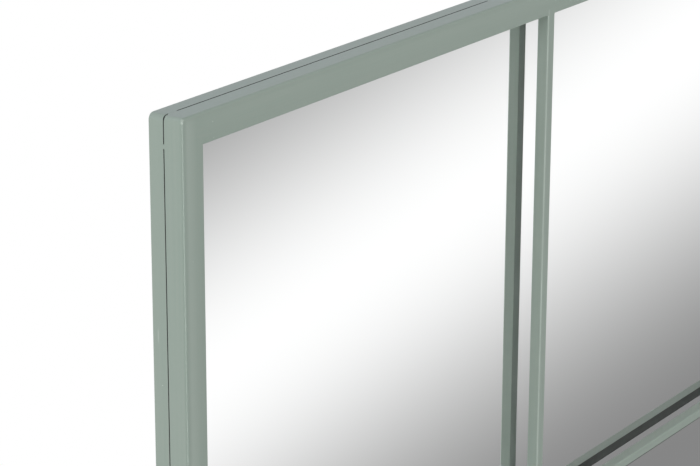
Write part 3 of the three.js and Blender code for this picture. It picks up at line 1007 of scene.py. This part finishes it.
def strap_roll(x, y, z, r, middle):
    """A section of the strip turned about the ring's axis, with its middle this far from it."""
    section, _ = rounded_profile(-r, r, -HALF_STRIP, HALF_STRIP, (STRAP_EASE,) * 4, 3)
    vertices, turns = [], 44
    for i in range(turns + 1):
        a = math.radians(180 - ROLL_TURN * i / turns)
        for px, pr, _, _ in section:
            radius = middle + pr
            vertices.append((x + px, y + radius * math.cos(a), z + radius * math.sin(a)))
    return grid("roll", vertices, turns + 1, len(section), caps=True)


def d_ring(side, x, y, z):
    """The ring, as wide as its own box, leaning on its strap."""
    low, high = around("hanger_ring_" + side)
    half = (high[0] - low[0]) / 2 - WIRE_RADIUS
    lean = math.asin((STRAP_TOP + RING_REST_GAP + WIRE_RADIUS - y) / (RING_LEG + half))
    tilt, rise = math.cos(lean), math.sin(lean)
    path = ring_path(half, RING_BEND, RING_LEG)
    vertices, sides = [], 18
    for k, (px, pz) in enumerate(path):
        ax, az = path[k - 1]
        bx, bz = path[(k + 1) % len(path)]
        size = math.hypot(bx - ax, bz - az)
        tx, tz = (bx - ax) / size, (bz - az) / size
        for j in range(sides):
            a = 2 * math.pi * j / sides
            out, back = WIRE_RADIUS * math.cos(a), WIRE_RADIUS * math.sin(a)
            vx, vz = px + tz * out, pz - tx * out
            vertices.append((x + vx, y + back * tilt - vz * rise, z + vz * tilt + back * rise))
    name = f"hanger_ring_{side}_wire"
    mesh = grid(name, vertices, len(path), sides)
    add_piece(name, mesh, "ring_" + side, WIRE, ["hanger_ring_" + side])


def hanger(side):
    """A strap hanger: a strip folded round the ring's bar, and the ring itself."""
    joint = next(j for j in frame["joints"] if j["name"] == f"ring_{side}_swing")
    x, y, z = (c / MM for c in joint["pos_m"])
    low, high = around("hanger_strap_" + side)
    r, foot = (high[0] - low[0]) / 2, low[2]
    name = f"hanger_strap_{side}_folded"
    mesh = joined(name, [
        strap_layer(x, r, foot, z, low[1], LAYER_TOP),
        strap_layer(x, r, foot, z - UPPER_END, UPPER_LAYER, STRAP_TOP),
        strap_roll(x, y, z, r, y - low[1] - HALF_STRIP - ROLL_SLACK),
    ])
    mesh.set_sharp_from_angle(angle=SHARP)
    add_piece(name, mesh, "frame", ZINC, ["hanger_strap_" + side])
    d_ring(side, x, y, z)


def wall_bumper(node):
    """A domed rubber bumper with a soft rim and a shallow dish in its top."""
    low, high = around(node)
    x, z = (low[0] + high[0]) / 2, (low[2] + high[2]) / 2
    tall, base = high[1] - low[1], (high[0] - low[0]) / 2
    profile = [
        (0.02, 0.0), (base - 0.2, 0.0), (base, 0.15), (base - 0.03, 0.5), (4.45, 3.4), (4.32, 4.1),
        (4.05, 4.6), (3.65, 4.88), (3.1, tall),
        (2.2, tall - 0.03), (1.2, tall - 0.12), (0.02, tall - 0.16),
    ]
    vertices, loops, points = lathe(profile)
    vertices = [(x + vx, low[1] + vy, z + vz) for vx, vy, vz in vertices]
    mesh = grid(node + "_moulded", vertices, loops, points, caps=True)
    add_piece(node + "_moulded", mesh, "frame", RUBBER, [node])


for side in ("left", "right"):
    hanger(side)
    wall_bumper("wall_bumper_" + side)


# ---------------------------------------- floor

# Height, just under the object, and radius, in metres, and where the disc fades to white.
FLOOR_Z = cad_box[0][2] - 0.0002
FLOOR_RADIUS = 1.15
FADE_FROM, FADE_TO = 0.45, 1.10
FLOOR_LIFT = 0.36


def floor():
    """A pale disc that keeps the object's shadow near it and ends in the background's white."""
    made = bmesh.new()
    bmesh.ops.create_circle(made, cap_ends=True, segments=96, radius=FLOOR_RADIUS)
    for v in made.verts:
        v.co.z = FLOOR_Z
    mesh = bpy.data.meshes.new("floor")
    made.to_mesh(mesh)
    made.free()
    disc = bpy.data.objects.new("floor", mesh)
    bpy.context.scene.collection.objects.link(disc)
    m = Material("floor", roughness=0.9)
    m.shader.inputs["Specular IOR Level"].default_value = 0.1
    grain = m.noise(m.place, 40.0, 2.0)
    m.colour(m.mix(grain, rgb(0.86, 0.86, 0.86), rgb(0.89, 0.89, 0.89)))
    flat = m.scaled(m.place, (1.0, 1.0, 0.0))
    away = m.span(m.vector("LENGTH", flat, out=1), FADE_FROM, FADE_TO, smooth=True)
    path = m.tree.nodes.new("ShaderNodeLightPath")
    seen = m.most(path.outputs["Is Camera Ray"], path.outputs["Is Glossy Ray"])
    seen = m.most(seen, path.outputs["Is Transmission Ray"])
    white = rgb(1, 1, 1)
    glow = m.add("ShaderNodeEmission", inputs={"Color": white, "Strength": seen})
    strength = m.times(seen, FLOOR_LIFT)
    lift = m.add("ShaderNodeEmission", inputs={"Color": white, "Strength": strength})
    near = m.add("ShaderNodeAddShader", inputs={0: m.shader.outputs[0], 1: lift})
    whole = m.add("ShaderNodeMixShader", inputs={0: away, 1: near, 2: glow})
    m.put(m.tree.nodes["Material Output"].inputs["Surface"], whole)
    mesh.materials.append(m.material)


floor()


# ---------------------------------------- surroundings and lamp

# The bright band: the normal of its tilted great circle, the middle and the half width of the
# band as a dot product with that, and the display values beside it, its rise and further out.
BAND_NORMAL = (-0.0462, -0.6558, 0.7535)
BAND_MIDDLE, BAND_HALF = 0.06904, 0.122
BAND_BASE, BAND_RISE, BAND_BEYOND = 0.518, 0.241, 0.352
# What a mirror gives back of what it sees.
MIRROR_SHARE = 0.81


def display_to_light(n, value):
    """The linear light of a display value."""
    return n.math("POWER", n.math("DIVIDE", n.plus(value, 0.055), 1.055), 2.4)


def seen_in_mirror(n, way, x, z):
    """The white studio with its band, falling off below, above and to the left."""
    level = n.vector("DOT_PRODUCT", way, BAND_NORMAL, out=1)
    t = n.math("DIVIDE", n.minus(level, BAND_MIDDLE), BAND_HALF)
    inside = n.least(n.most(t, -1.0), 1.0)
    wave = n.times(n.plus(n.math("COSINE", n.times(inside, math.pi)), 1.0), BAND_RISE)
    beyond = n.span(n.size(t), 1.0, 3.5, 0.0, BAND_BEYOND, smooth=True)
    shown = display_to_light(n, n.plus(n.plus(wave, BAND_BASE), beyond))
    mirrored = n.math("DIVIDE", shown, MIRROR_SHARE)
    # Little light gets behind the transoms.
    low_down = n.times(n.span(z, -0.39, -0.60, smooth=True), 0.90)
    high_up = n.times(n.span(z, 0.15, 0.45, smooth=True), 0.65)
    low_left = n.times(
        n.span(z, -0.12, -0.30, smooth=True), n.span(x, 0.42, 0.20, smooth=True),
    )
    far_left = n.span(x, -0.10, -0.45, 1.0, 0.85, smooth=True)
    upright = n.minus(n.minus(1.0, low_down), high_up)
    sideways = n.minus(far_left, n.times(low_left, 0.35))
    return n.times(mirrored, n.times(upright, sideways))


def surroundings():
    """White to the camera, a soft even light on the paint, and a studio in mirror and gloss."""
    world = bpy.data.worlds.new("studio")
    bpy.context.scene.world = world
    world.use_nodes = True
    n = Nodes(world.node_tree)
    for node in list(world.node_tree.nodes):
        world.node_tree.nodes.remove(node)
    way = n.add("ShaderNodeTexCoord")
    x, y, z = n.split(way)

    def lobe(direction, sharpness, amount):
        """A soft round patch about one direction."""
        toward = n.vector("DOT_PRODUCT", way, direction, out=1)
        return n.times(n.math("EXPONENT", n.times(n.minus(toward, 1.0), sharpness)), amount)

    # A soft light that the front arrises catch, beside a darker stretch on its left.
    dim = n.minus(1.0, lobe((-0.83, -0.46, -0.32), 12.0, 0.6))
    bright = lobe((-0.325, -0.893, -0.31), 45.0, 11.0)
    glossy = n.plus(n.times(seen_in_mirror(n, way, x, z), dim), bright)
    # Behind the object: lighter on the left, and bluish above.
    behind = n.minus(0.92, n.times(x, 0.25))
    to_back = n.span(y, -0.1, 0.1, smooth=True)
    glossy = n.plus(n.times(glossy, n.minus(1.0, to_back)), n.times(behind, to_back))
    above = n.times(n.span(z, 0.0, 0.15, smooth=True), to_back)
    # The even light on the paint: less from above, least from below, and more from the left,
    # the back and the front.
    up, down = n.most(z, 0.0), n.least(z, 0.0)
    even = n.plus(1.09, n.plus(n.times(up, -0.80), n.times(down, 0.70)))
    even = n.minus(even, n.times(x, 0.06))
    even = n.plus(even, n.times(n.most(y, 0.0), 0.22))
    even = n.minus(even, n.times(n.least(y, 0.0), 0.06))
    path = n.tree.nodes.new("ShaderNodeLightPath")
    gloss = path.outputs["Is Glossy Ray"]
    plain = n.most(path.outputs["Is Camera Ray"], path.outputs["Is Transmission Ray"])
    strength = n.plus(n.times(glossy, gloss), n.times(even, n.minus(1.0, gloss)))
    strength = n.plus(n.times(strength, n.minus(1.0, plain)), plain)
    tint = n.mix(n.times(above, gloss), rgb(1, 1, 1), rgb(0.95, 0.94, 1.10))
    light = n.add("ShaderNodeBackground", inputs={"Color": tint, "Strength": strength})
    out = n.tree.nodes.new("ShaderNodeOutputWorld")
    n.put(out.inputs["Surface"], light)


surroundings()


# The lamp looks at the object's upper half, from this direction and distance in metres.
LAMP_TARGET = Vector((-0.1, 0.0, 0.3))
LAMP_WAY = Vector((-0.66, -0.26, 0.71)).normalized()
LAMP_DISTANCE, LAMP_SIZE, LAMP_POWER = 3.6, 1.8, 29.0


def key_lamp():
    """A round white lamp, unseen in the gloss."""
    lamp = bpy.data.lights.new("key", "AREA")
    lamp.shape = "DISK"
    lamp.size = LAMP_SIZE
    lamp.energy = LAMP_POWER
    lamp.color = (1.0, 1.0, 1.0)
    obj = bpy.data.objects.new("key", lamp)
    obj.location = LAMP_TARGET + LAMP_WAY * LAMP_DISTANCE
    obj.rotation_mode = "QUATERNION"
    obj.rotation_quaternion = LAMP_WAY.to_track_quat("Z", "Y")
    obj.visible_glossy = False
    bpy.context.scene.collection.objects.link(obj)


key_lamp()


# ---------------------------------------- camera

# Azimuth and elevation in degrees, roll in radians, focal length in mm for a 36 mm sensor, and
# place in metres.
AZIMUTH, ELEVATION, ROLL = 55.59, 18.04, -0.0028
LENS = 137.74
CAMERA_PLACE = Vector((-1.62906, -0.96694, 1.04100))
# A pixel as an angle, and how many pixels the image moves right and down.
PIXEL = 1 / 2678.2
SHIFT_RIGHT, SHIFT_DOWN = 0.8, 0.5


def camera():
    """Left of, above and in front of the mirror, looking at its top left corner."""
    a, e = math.radians(AZIMUTH), math.radians(ELEVATION)
    ahead = Vector((math.sin(a) * math.cos(e), math.cos(a) * math.cos(e), -math.sin(e)))
    right = Vector((math.cos(a), -math.sin(a), 0.0))
    down = ahead.cross(right)
    x = right * math.cos(ROLL) + down * math.sin(ROLL)
    y = down * math.cos(ROLL) - right * math.sin(ROLL)
    ahead = (ahead - x * (SHIFT_RIGHT * PIXEL) - y * (SHIFT_DOWN * PIXEL)).normalized()
    x = (x + ahead * (SHIFT_RIGHT * PIXEL)).normalized()
    y = ahead.cross(x)
    data = bpy.data.cameras.new("camera")
    data.sensor_width = 36.0
    data.lens = LENS
    data.clip_start = 0.05
    data.clip_end = 50.0
    obj = bpy.data.objects.new("camera", data)
    matrix = Matrix((x, -y, -ahead)).transposed().to_4x4()
    matrix.translation = CAMERA_PLACE
    obj.matrix_world = matrix
    bpy.context.scene.collection.objects.link(obj)
    bpy.context.scene.camera = obj


camera()
bpy.context.scene.view_settings.view_transform = "Standard"
